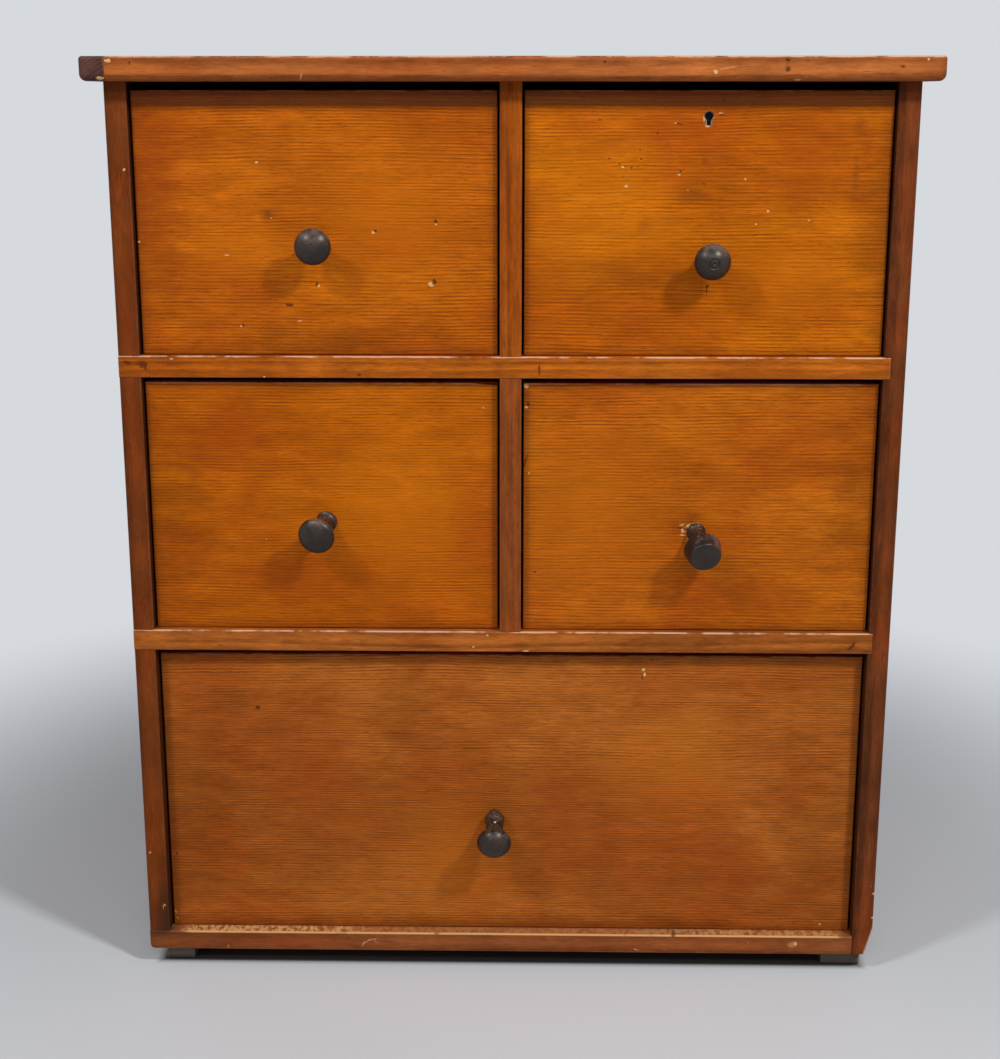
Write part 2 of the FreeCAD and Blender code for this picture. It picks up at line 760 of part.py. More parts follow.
def worn_corner(x, recess, crown):
    """What has worn off the top right corner of a drawer's front."""
    corner = Vector(x[1], recess - beyond, crown)
    return prism([
        corner + Vector(beyond, 0, beyond),
        corner + Vector(-worn_corner_width, 0, beyond),
        corner + Vector(-worn_corner_width, 0, 0),
        corner + Vector(0, 0, -worn_corner_drop),
        corner + Vector(beyond, 0, -worn_corner_drop),
    ], Vector(0, beyond + lap, 0))


def build_drawers(nodes):
    """The five drawers with their knobs, stops and lock. Gives the cut for the lock's bolt."""
    stops = []
    for name, drawer in drawers.items():
        knob = knobs[name]
        recess = drawer["recess"]
        x = (drawer["opening"][0] + side_clearance, drawer["opening"][1] - side_clearance)
        middle = (x[0] + x[1]) / 2
        base = drawer["floor"] + running_clearance
        crown = base + drawer["height"]
        boards = build_drawer(x, drawer["floor"], drawer["height"], recess, drawer["tails"])
        front = boards["drawer_front"]
        place = Vector(middle + knob["aside"], recess, (base + crown) / 2 - knob["below"])
        boards["knob"] = build_knob(knob, place)
        front = front.cut(boards["knob"])
        if name == "middle_left":
            front = front.cut(worn_corner(x, recess, crown))
        if name == "upper_right":
            lock, front, strike = build_lock(front, middle, crown, recess)
            nodes.update(lock)
        if name == "bottom":
            nail = build_knob_nail(place)
            boards["knob"] = boards["knob"].cut(nail)
            front = front.cut(nail)
            nodes["bottom_knob_nail"] = nail
        boards["drawer_front"] = front
        for piece, shape in boards.items():
            nodes[name + "_" + piece] = shape
        for middle_of_stop in (x[0] + stop_inset, x[1] - stop_inset):
            stops.append(drawer_stop(middle_of_stop, recess, drawer["floor"]))
    nodes["drawer_stops"] = Part.makeCompound(stops)
    return strike


def build_all():
    nodes = {}
    for name in levels:
        nodes.update(build_level(name))
    stubs = build_dividers(nodes)
    guides = [centre_guide(upper_floor), centre_guide(middle_floor)]
    nodes["centre_guides"] = Part.makeCompound(guides)
    build_sides(nodes)
    build_bottom(nodes)
    build_skids(nodes)
    build_back(nodes)

    strike = build_drawers(nodes)
    build_top(nodes, stubs, strike)
    build_nails(nodes)

    whole = Part.makeCompound(list(nodes.values())).optimalBoundingBox(False, False)
    to_middle = Vector(-whole.Center.x, -whole.Center.y, -whole.ZMin)
    return {name: shape.translated(to_middle) for name, shape in nodes.items()}


os.makedirs("parts", exist_ok=True)
model = build_all()
for node, shape in model.items():
    shape.exportStep("parts/" + node + ".step")
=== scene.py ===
import math
import random

import bmesh
import bpy
from mathutils import Euler, Matrix, Vector


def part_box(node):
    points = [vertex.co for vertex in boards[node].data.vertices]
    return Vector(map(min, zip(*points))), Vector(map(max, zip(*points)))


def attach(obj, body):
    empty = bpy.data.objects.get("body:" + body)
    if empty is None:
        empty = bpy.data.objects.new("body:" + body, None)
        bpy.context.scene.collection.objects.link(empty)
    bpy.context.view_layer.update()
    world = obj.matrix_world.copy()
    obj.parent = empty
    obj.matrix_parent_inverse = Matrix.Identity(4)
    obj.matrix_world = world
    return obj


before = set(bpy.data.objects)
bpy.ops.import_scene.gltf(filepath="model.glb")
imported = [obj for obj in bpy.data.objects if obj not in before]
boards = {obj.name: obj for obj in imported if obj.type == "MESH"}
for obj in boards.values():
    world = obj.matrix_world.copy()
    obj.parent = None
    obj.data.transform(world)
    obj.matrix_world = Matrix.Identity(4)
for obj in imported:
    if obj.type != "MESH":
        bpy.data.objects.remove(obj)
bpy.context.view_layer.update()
mm = 0.001


def shade(red, green, blue):
    """A colour as it shows, each part from 0 to 255, turned into what the shaders take."""
    shown = [part / 255 for part in (red, green, blue)]
    linear = [((part + 0.055) / 1.055) ** 2.4 if part > 0.04 else part / 12.92 for part in shown]
    return (*linear, 1.0)


# Colours of the woods, the wax, the metals and the backdrop
bare_wood = shade(226, 178, 122)
worn_wax = shade(206, 142, 92)
old_dirt = shade(46, 24, 14)
red_wax = shade(158, 62, 12)
brown_smudge = shade(112, 50, 16)
knot_brown = shade(78, 36, 18)
worn_and_highlit_edge = shade(236, 188, 156)
worn_ledge = shade(228, 174, 112)
thin_ledge = shade(170, 104, 62)
knocked_corner = shade(176, 130, 92)
painted_top_shadow = shade(98, 52, 34)
split_pine = shade(232, 190, 136)
split_pine_dark = shade(150, 96, 48)
knob_black = shade(26, 20, 18)
knob_brown = shade(42, 32, 28)
knob_bare_and_highlight = shade(150, 112, 86)
knob_rim_highlight = shade(128, 108, 96)
nail_dirt = shade(14, 10, 8)
liner_black = shade(30, 22, 18)
backdrop_pale = shade(214, 217, 221)
backdrop_grey = shade(208, 211, 215)
painted_shadow_under_chest = shade(74, 72, 72)
room_white = shade(222, 226, 232)

# Kinds of mark: the colour, how much of it covers the wood, how far it is pressed in, and the
# share of its size inside which it is full. A mark without such a share fades from its middle
mark_kinds = {
    "chip": (bare_wood, 0.85, 0.8, 0.65),
    "dent": (old_dirt, 0.75, 1.2, 0.65),
    "smudge": (brown_smudge, 0.4, 0.0, 0.0),
    "scratch": (worn_wax, 0.7, 0.4, 0.65),
    "knot": (knot_brown, 0.8, 0.2, 0.4),
    # The redder, darker and lighter kinds are broad tones; on the drawer fronts the darker ones lie toward
    # the outer ends and the lighter ones toward the middle
    "redder": (shade(150, 56, 12), 0.3, 0.0, 0.0),
    "darker": (shade(104, 46, 6), 0.34, 0.0, 0.0),
    "lighter": (shade(222, 124, 14), 0.22, 0.0, 0.0),
    "soot": (shade(40, 30, 26), 0.6, 0.0, 0.0),
    "patch": (shade(196, 134, 78), 0.7, 0.2, 0.3),
}

# How far behind a board's front its marks reach
mark_depth = 12 * mm

# The camera, measured from the front edges of the carcass, the middle of the chest and the floor
camera_aside = 16.6 * mm
camera_away = 1306.7 * mm
camera_height = 718.7 * mm
camera_pitch = math.radians(14.338)
camera_yaw = math.radians(1.087)
camera_lens = 57.79
sensor_height = 36.0


class Nodes:
    """A tree of shader nodes, with one short call for each kind of node."""

    def __init__(self, name, tree):
        self.chance = random.Random(name)
        self.nodes = tree.nodes
        self.links = tree.links

    def give(self, socket, value):
        """Feed an input from another node, or set it to a plain value."""
        if isinstance(value, bpy.types.NodeSocket):
            self.links.new(value, socket)
        else:
            socket.default_value = value

    def math(self, kind, *values):
        node = self.nodes.new("ShaderNodeMath")
        node.operation = kind
        for socket, value in zip(node.inputs, values):
            self.give(socket, value)
        return node.outputs[0]

    def add(self, first, second):
        return self.math("ADD", first, second)

    def less(self, first, second):
        return self.math("SUBTRACT", first, second)

    def times(self, first, second):
        return self.math("MULTIPLY", first, second)

    def fade(self, value, none, full):
        """0 where the value is none, 1 where it is full, and a smooth change between."""
        node = self.nodes.new("ShaderNodeMapRange")
        node.interpolation_type = "SMOOTHSTEP"
        self.give(node.inputs["Value"], value)
        self.give(node.inputs["From Min"], none)
        self.give(node.inputs["From Max"], full)
        return node.outputs["Result"]

    def between(self, value, low, high):
        """A value from 0 to 1 spread from low to high."""
        return self.math("MULTIPLY_ADD", value, high - low, low)

    def parts(self, vector):
        node = self.nodes.new("ShaderNodeSeparateXYZ")
        self.give(node.inputs[0], vector)
        return tuple(node.outputs)

    def vector(self, x, y, z):
        node = self.nodes.new("ShaderNodeCombineXYZ")
        for socket, value in zip(node.inputs, (x, y, z)):
            self.give(socket, value)
        return node.outputs[0]

    def length(self, vector):
        node = self.nodes.new("ShaderNodeVectorMath")
        node.operation = "LENGTH"
        self.give(node.inputs[0], vector)
        return node.outputs["Value"]

    def noise(self, where, patches, detail, roughness=0.5):
        """Random values about 0.5, mostly from 0.3 to 0.7, with so many patches to the metre."""
        spread = self.nodes.new("ShaderNodeMapping")
        self.give(spread.inputs["Vector"], where)
        spread.inputs["Location"].default_value = [self.chance.uniform(-30, 30) for _ in range(3)]
        spread.inputs["Scale"].default_value = patches
        node = self.nodes.new("ShaderNodeTexNoise")
        self.give(node.inputs["Vector"], spread.outputs["Vector"])
        node.inputs["Scale"].default_value = 1.0
        node.inputs["Detail"].default_value = detail
        node.inputs["Roughness"].default_value = roughness
        return node.outputs[0]

    def ragged(self, where, patches, detail, roughness=0.5):
        """Random values about 0, to make an edge or a line uneven."""
        return self.less(self.noise(where, patches, detail, roughness), 0.5)

    def mix(self, share, first, second, kind="MIX"):
        node = self.nodes.new("ShaderNodeMix")
        node.data_type = "RGBA"
        node.blend_type = kind
        factor, first_colour, second_colour = (node.inputs[number] for number in (0, 6, 7))
        self.give(factor, share)
        self.give(first_colour, first)
        self.give(second_colour, second)
        return node.outputs[2]

    def scaled(self, colour, value):
        """A colour made darker or lighter by a value about 1."""
        return self.mix(1.0, colour, self.vector(value, value, value), "MULTIPLY")

    def seen_rays(self):
        """1 for the rays that see a surface from the camera, straight or mirrored, else 0."""
        path = self.nodes.new("ShaderNodeLightPath").outputs
        seen = path["Is Camera Ray"]
        for ray in ("Is Glossy Ray", "Is Transmission Ray"):
            seen = self.math("MAXIMUM", seen, path[ray])
        return seen


class Finish(Nodes):
    """A material that is built up node by node round one shader."""

    def __init__(self, name):
        self.material = bpy.data.materials.new(name)
        self.material.use_nodes = True
        super().__init__(name, self.material.node_tree)
        self.nodes.clear()
        self.shader = self.nodes.new("ShaderNodeBsdfPrincipled")
        self.output = self.nodes.new("ShaderNodeOutputMaterial")
        self.links.new(self.shader.outputs["BSDF"], self.output.inputs["Surface"])
        self.place = self.nodes.new("ShaderNodeTexCoord").outputs["Object"]

    def seen_from(self, middle, turned, size):
        """The place measured from a middle, turned, and in units of a size along each axis."""
        node = self.nodes.new("ShaderNodeMapping")
        node.vector_type = "TEXTURE"
        self.give(node.inputs["Vector"], self.place)
        node.inputs["Location"].default_value = middle
        node.inputs["Rotation"].default_value = turned
        node.inputs["Scale"].default_value = size
        return node.outputs["Vector"]

    def finish(self, colour, roughness, height, depth):
        """Join the colour, the roughness and a bump of a depth in metres to the shader."""
        self.give(self.shader.inputs["Base Color"], colour)
        self.give(self.shader.inputs["Roughness"], roughness)
        bump = self.nodes.new("ShaderNodeBump")
        bump.inputs["Strength"].default_value = 1.0
        bump.inputs["Distance"].default_value = depth
        self.give(bump.inputs["Height"], height)
        self.links.new(bump.outputs["Normal"], self.shader.inputs["Normal"])
        return self.material


class Board(Finish):
    """Sawn pine: growth rings round a heart, fibres, uneven stain, dirt and worn edges."""

    def __init__(self, name, node, along, heart, ring):
        super().__init__(name)
        self.low, self.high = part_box(node)
        middle = (self.low + self.high) / 2
        x, y, z = self.parts(self.place)
        lengthwise, deep, wide = {"x": (x, y, z), "y": (y, x, z), "z": (z, y, x)}[along]
        middle_deep, middle_wide = {"x": middle.yz, "y": middle.xz, "z": middle.yx}[along]
        self.grain = self.vector(lengthwise, deep, wide)
        across = self.less(deep, middle_deep + heart[0] * mm)
        up = self.less(wide, middle_wide + heart[1] * mm)
        self.grow_rings(across, up, ring * mm)
        self.fibres = self.noise(self.grain, (70, 1100, 1100), 4.0, 0.65)
        self.mottle = self.noise(self.grain, (26, 70, 70), 4.0, 0.65)
        self.flecks = self.fade(self.noise(self.grain, (120, 1200, 1200), 2.0), 0.6, 0.72)
        self.patches = self.noise(self.grain, (4, 12, 12), 3.0, 0.55)
        self.cloud = self.noise(self.place, (11, 11, 11), 3.0, 0.6)
        self.rough = self.ragged(self.place, (420, 420, 420), 2.0)

    def grow_rings(self, across, up, ring):
        """Rings round the heart, which sway along the board and come and go."""
        growth = self.ragged(self.grain, (0.2, 22, 22), 1.0)
        bend = self.wander((3, 9, 9), 14)
        bend = self.add(bend, self.wander((30, 120, 120), 1.3))
        bend = self.add(bend, self.wander((190, 420, 420), 0.7))
        reach = self.length(self.vector(across, self.add(up, bend), 0.0))
        count = self.math("DIVIDE", self.add(reach, self.times(growth, 8 * mm)), ring)

        # Each ring darkens slowly to its late wood and ends sharply
        share = self.math("FRACT", count)
        late = self.times(self.fade(share, 0.45, 0.8), self.fade(share, 1.0, 0.9))
        early = self.times(self.fade(share, 0.0, 0.1), self.fade(share, 0.4, 0.15))
        each = self.nodes.new("ShaderNodeTexWhiteNoise")
        each.noise_dimensions = "1D"
        self.give(each.inputs["W"], self.math("FLOOR", count))
        coming = self.fade(self.noise(self.grain, (26, 150, 150), 4.0, 0.7), 0.36, 0.62)
        strength = self.times(self.between(each.outputs["Value"], 0.5, 1.0), self.between(coming, 0.15, 1.0))
        self.rings = self.times(late, strength)
        self.pale_rings = self.times(early, strength)

    def wander(self, patches, reach):
        """How far the rings stray to either side, up to about a quarter of a reach in millimetres."""
        return self.times(self.ragged(self.grain, patches, 2.0), reach * mm)

    def stain(self, colours, red, uneven, contrast=0.9, streaks=0.5):
        """Colour the wood: pale, deep and red patches, darker ring lines and fine streaks."""
        pale, deep, line = (shade(*colour) for colour in colours)
        ground = self.mix(self.fade(self.patches, 0.36, 0.64), pale, deep)
        ground = self.mix(self.times(self.fade(self.cloud, 0.45, 0.68), red), ground, red_wax)
        ground = self.scaled(ground, self.between(self.mottle, 1.0 - uneven, 1.0 + uneven))
        light = tuple(1.5 * part for part in pale[:3]) + (1.0,)
        ground = self.mix(self.times(self.pale_rings, 0.45 * contrast), ground, light)
        self.colour = self.mix(self.times(self.rings, contrast), ground, line)
        self.colour = self.scaled(self.colour, self.between(self.fibres, 1.0 - streaks, 1.0 + streaks))
        self.colour = self.mix(self.times(self.flecks, 0.5), self.colour, line)
        self.height = self.add(self.times(self.rings, 0.5), self.times(self.fibres, 0.6))
        self.gloss = self.between(self.mottle, 0.3, 0.6)

    def knocks(self, share=0.24, spacing=22.0):
        """Small chips and specks of dirt, at a random point in some cells, sized by the cell."""
        cells = self.nodes.new("ShaderNodeTexVoronoi")
        self.give(cells.inputs["Vector"], self.place)
        cells.inputs["Scale"].default_value = 1 / (spacing * mm)
        chosen, lightness, size = self.parts(cells.outputs["Color"])
        reach = self.add(cells.outputs["Distance"], self.times(self.rough, 0.08))
        spot = self.fade(reach, self.between(size, 0.022, 0.052), 0.012)
        spot = self.times(spot, self.math("LESS_THAN", chosen, share))
        pale = self.math("GREATER_THAN", lightness, 0.45)
        self.lay(self.times(spot, 0.75), self.mix(pale, old_dirt, bare_wood), 0.5)

    def from_face(self, face):
        """How far a point of the board lies inside one of its faces."""
        axis = {"left": 0, "right": 0, "front": 1, "back": 1, "bottom": 2, "top": 2}[face]
        value = self.parts(self.place)[axis]
        if face in ("left", "front", "bottom"):
            return self.less(value, self.low[axis])
        return self.less(self.high[axis], value)

    def from_edges(self):
        """How far a point of the board is from the nearest of its edges."""
        near = []
        for pair in (("left", "right"), ("front", "back"), ("bottom", "top")):
            near.append(self.math("MINIMUM", *(self.from_face(face) for face in pair)))
        lesser = self.math("MINIMUM", near[0], near[1])
        greater = self.math("MAXIMUM", near[0], near[1])
        return self.math("MAXIMUM", lesser, self.math("MINIMUM", greater, near[2]))

    def age(self, dirt, wear, worn_to=worn_wax):
        """Dirt that gathers near the edges, and edges rubbed down to paler wood."""
        distance = self.from_edges()
        cloud = self.noise(self.place, (40, 40, 40), 3.0)
        grime = self.fade(self.add(distance, self.times(cloud, 8 * mm)), 15 * mm, 3 * mm)
        self.colour = self.mix(self.times(grime, dirt), self.colour, old_dirt)
        ragged = self.ragged(self.place, (260, 260, 260), 3.0, 0.6)
        patchy = self.fade(self.noise(self.place, (26, 26, 26), 2.0), 0.38, 0.6)
        rubbed = self.fade(self.add(distance, self.times(ragged, 3.2 * mm)), 1.5 * mm, 0.3 * mm)
        rubbed = self.times(self.times(rubbed, patchy), wear)
        self.lay(rubbed, worn_to)
        self.gloss = self.add(self.gloss, self.times(rubbed, 0.15))

    def lay(self, mask, colour, sunk=0.0):
        """Lay a colour over the wood where the mask is, and press it in or raise it."""
        self.colour = self.mix(mask, self.colour, colour)
        if sunk:
            self.height = self.less(self.height, self.times(mask, sunk))

    def mark(self, full, right, up, half_width, half_height, turned=0.0):
        """A spot on the board's front, placed from its lower left corner in millimetres."""
        middle = (self.low.x + right * mm, self.low.y, self.low.z + up * mm)
        size = (half_width * mm, mark_depth, half_height * mm)
        seen = self.seen_from(middle, (0.0, -math.radians(turned), 0.0), size)
        uneven = self.times(self.rough, 1.8) if full else self.times(self.less(self.mottle, 0.5), 1.6)
        return self.fade(self.add(self.length(seen), uneven), 1.15, full)

    def marks(self, spots):
        """Marks on the board, and broad redder, darker and lighter tones: each a kind, its place, its half
        sizes and its turn in degrees.
        """
        for kind, *where in spots:
            colour, strength, sunk, full = mark_kinds[kind]
            self.lay(self.times(self.mark(full, *where), strength), colour, sunk)

    def done(self, depth=0.09):
        """Close the material. The depth is that of a whole unit of its height."""
        return self.finish(self.colour, self.gloss, self.height, depth * mm)


def wax(material_shader, coat=0.03, gloss=0.4, specular=0.18, tint=(255, 190, 130)):
    """The soft shine of old wax over a wood."""
    material_shader.inputs["Coat Weight"].default_value = coat
    material_shader.inputs["Coat Roughness"].default_value = gloss
    material_shader.inputs["Specular IOR Level"].default_value = specular
    material_shader.inputs["Specular Tint"].default_value = shade(*tint)


def cover(node, material):
    """Give a board or fitting its material, on every slot that it has."""
    mesh = boards[node].data
    if not mesh.materials:
        mesh.materials.append(material)
    for number in range(len(mesh.materials)):
        mesh.materials[number] = material


# Fronts of the drawers: where the heart of the tree was, behind and above the board's middle,
# how far apart the rings are, both in millimetres, and the pale, deep and line colours
fronts = {
    "upper_left": ((60, -250), 2.4, (190, 100, 12), (164, 78, 8), (118, 50, 4)),
    "upper_right": ((70, -280), 2.6, (192, 105, 8), (166, 82, 5), (122, 52, 3)),
    "middle_left": ((60, -270), 2.3, (188, 98, 8), (166, 80, 6), (120, 52, 4)),
    "middle_right": ((75, -300), 2.5, (190, 102, 16), (168, 84, 10), (118, 52, 6)),
    "bottom": ((90, -330), 2.2, (177, 99, 34), (154, 80, 24), (106, 50, 13)),
}

# Marks on the fronts, in millimetres from each front's lower left corner
front_marks = {
    "upper_left": [
        ("redder", 22, 130, 55, 75), ("redder", 70, 40, 60, 50), ("darker", 8, 100, 34, 130),
        ("redder", 12, 110, 30, 80), ("redder", 20, 150, 24, 40),
        ("lighter", 190, 110, 70, 60), ("lighter", 70, 80, 40, 30), ("darker", 150, 12, 90, 16),
        ("smudge", 101, 107, 8, 7), ("smudge", 101, 107.5, 3, 3.6), ("chip", 103.5, 105, 0.7, 0.5),
        ("chip", 1.2, 87, 1.3, 0.9), ("chip", 225.4, 55, 2.4, 2),
        ("dent", 227.4, 56.5, 1.6, 2.2), ("dent", 137, 55, 1.4, 1.8), ("chip", 138.6, 53.4, 0.9, 0.8),
        ("smudge", 73, 31, 2.5, 2), ("dent", 79, 22.6, 1.3, 1.3), ("chip", 77.6, 22.2, 1.2, 0.8),
        ("chip", 181.2, 94.2, 1.6, 1.2), ("dent", 182.8, 95.3, 1.3, 1.1), ("dent", 229, 102.4, 1.3, 1.6),
        ("chip", 229.2, 100.2, 0.9, 0.9), ("chip", 68.6, 76.8, 1.8, 0.5), ("dent", 115.9, 38.6, 3.2, 1.2),
        ("chip", 123.3, 26.3, 2.4, 0.6), ("chip", 93.8, 146.6, 1, 0.8),
    ],
    "upper_right": [
        ("lighter", 60, 110, 70, 80), ("redder", 215, 150, 40, 60), ("darker", 270, 100, 26, 120),
        ("redder", 125, 165, 90, 22), ("lighter", 200, 60, 60, 36), ("darker", 80, 60, 50, 20),
        ("chip", 77, 129, 1.6, 1), ("dent", 136, 130.7, 0.9, 0.8), ("chip", 123.9, 126.2, 0.8, 0.6),
        ("chip", 184.9, 110.6, 1, 0.9), ("chip", 176.2, 100.9, 0.9, 0.8), ("chip", 216.2, 103.9, 0.9, 0.7),
        ("dent", 140.5, 53.9, 1.4, 1.2), ("dent", 140.2, 50, 0.5, 3.4), ("smudge", 125.3, 121, 20, 8),
        ("smudge", 92, 100, 8, 6), ("smudge", 252, 172, 6, 14), ("redder", 257, 158, 5, 18),
        ("smudge", 250, 138, 4, 20), ("smudge", 136, 148.4, 4, 6), ("dent", 64, 149.6, 0.8, 0.7),
        ("dent", 72, 145.4, 0.8, 0.6), ("dent", 76, 143.6, 0.9, 0.6), ("dent", 81, 142.6, 0.8, 0.7),
        ("dent", 86, 143.4, 0.8, 0.6), ("dent", 88, 149, 1, 0.8), ("chip", 74.6, 143.2, 1.2, 0.7),
        ("dent", 75, 136, 0.8, 0.6), ("chip", 117, 137.6, 1.2, 0.5),
        ("dent", 147.7, 181.4, 2, 0.7), ("chip", 147.4, 182.8, 2, 0.5), ("dent", 148.6, 192, 1, 0.8),
        ("dent", 116.7, 174.7, 3.2, 0.5, -20), ("chip", 113.4, 175.6, 1, 0.4),
        ("dent", 132.4, 175.3, 2.2, 0.35), ("redder", 142.6, 172.6, 2.4, 1.6),
        ("chip", 134.6, 178.5, 0.5, 3.2), ("chip", 137.4, 173.2, 2.2, 0.7), ("dent", 56.7, 177.7, 0.9, 0.7),
        ("dent", 87, 155.7, 1, 0.8), ("dent", 100, 168, 0.8, 0.7), ("dent", 118, 140, 0.9, 0.8),
    ],
    "middle_left": [
        ("darker", 10, 90, 46, 120), ("redder", 60, 150, 60, 40), ("lighter", 200, 90, 70, 70),
        ("redder", 120, 40, 90, 26), ("chip", 143, 92.6, 2.2, 1), ("chip", 139, 94, 1.6, 0.8),
    ],
    "middle_right": [
        ("lighter", 50, 100, 70, 80), ("redder", 220, 150, 60, 50), ("darker", 265, 90, 34, 120),
        ("redder", 170, 30, 90, 24),
        ("chip", 2.2, 199, 2.2, 1.6), ("chip", 2.4, 182.2, 1.8, 1), ("dent", 3.6, 184.4, 1.2, 2),
        ("dent", 1.8, 139, 0.6, 6.5, -15), ("chip", 4.4, 129.3, 1, 0.9), ("dent", 9.7, 48, 1.2, 0.7),
        ("dent", 133.5, 86, 5, 4), ("chip", 131.7, 87.4, 1.9, 1.1, 30), ("chip", 137.4, 89, 3.6, 0.5),
        ("chip", 126.2, 87.8, 2.6, 0.6, 15), ("chip", 127, 82.8, 1.2, 1.8), ("chip", 126.2, 79.4, 2.2, 0.7),
        ("dent", 124.4, 85, 2.4, 0.6), ("smudge", 122, 86, 8, 7), ("smudge", 134, 94, 12, 6),
    ],
    "bottom": [
        ("darker", 20, 90, 60, 120), ("redder", 130, 150, 60, 90), ("lighter", 240, 60, 60, 70),
        ("redder", 330, 110, 40, 110), ("lighter", 420, 150, 70, 60), ("darker", 540, 80, 50, 120),
        ("redder", 470, 60, 60, 50), ("darker", 200, 190, 40, 60), ("chip", 2, 12, 1.6, 0.5, -40),
        ("chip", 3, 6.4, 1.5, 0.4, -35), ("dent", 5, 66, 0.9, 1), ("dent", 47, 70, 0.8, 0.6),
        ("redder", 30, 20, 60, 24), ("darker", 275, 2, 280, 12), ("chip", 549, 6, 0.9, 0.9),
        ("smudge", 78.5, 196, 5, 4), ("dent", 78.5, 197.5, 1.8, 1.6), ("chip", 395.4, 232, 1.6, 1.2),
        ("chip", 396.2, 228, 1, 1.6), ("dent", 394.4, 224.6, 0.5, 3.2), ("dent", 402, 240.5, 1.4, 1),
    ],
}


def make_fronts():
    """Waxed pine with its grain across, its marks and broad tones, a painted shadow under the top, and a
    worn upper edge that is partly a painted highlight.
    """
    for name, (heart, ring, *colours) in fronts.items():
        node = name + "_drawer_front"
        board = Board(name + "_front_pine", node, "x", heart, ring)
        board.stain(colours, red=0.42, uneven=0.5)
        board.age(dirt=0.3, wear=0.12)
        board.knocks()
        if name.startswith("upper"):
            # A painted shadow where the top shades the upper fronts
            paint_shadow_under_top(board)
        # A worn upper edge, partly a painted highlight
        rub_and_highlight_top_edge(board, 0.3)
        board.marks(front_marks[name])
        wax(board.shader)
        cover(node, board.done())


# Boards of the carcass that show: which way the grain runs, heart, rings, colours, and how
# much their edges are rubbed
carcass_boards = {
    "top_board": ("x", (40, -75), 4.4, (182, 104, 50), (156, 80, 36), (112, 52, 22), 0.4),
    "top_left_end": ("y", (60, -90), 3.0, (94, 64, 58), (72, 48, 46), (44, 28, 26), 0.2),
    "left_side": ("z", (80, 40), 4.0, (126, 62, 24), (94, 44, 16), (58, 24, 10), 0.07),
    "right_side": ("z", (80, -45), 4.0, (120, 60, 28), (92, 46, 22), (58, 26, 12), 0.07),
    "upper_rail": ("x", (90, -60), 3.2, (202, 109, 26), (173, 86, 15), (112, 49, 8), 0.15),
    "lower_rail": ("x", (95, 55), 3.2, (190, 106, 41), (158, 85, 28), (100, 47, 15), 0.15),
    "bottom_board": ("x", (120, -60), 3.6, (160, 91, 47), (130, 69, 36), (78, 37, 20), 0.08),
    "upper_divider": ("z", (80, 30), 3.0, (179, 91, 19), (154, 74, 15), (104, 45, 10), 0.06),
    "lower_divider": ("z", (85, -35), 3.0, (144, 74, 32), (120, 58, 24), (80, 34, 14), 0.1),
}
rubbed_and_highlit_along_top = ("top_board", "upper_rail", "lower_rail")
beside_drawers = {
    "left_side": ("right",),
    "right_side": ("left",),
    "upper_divider": ("left", "right"),
    "lower_divider": ("left", "right"),
}

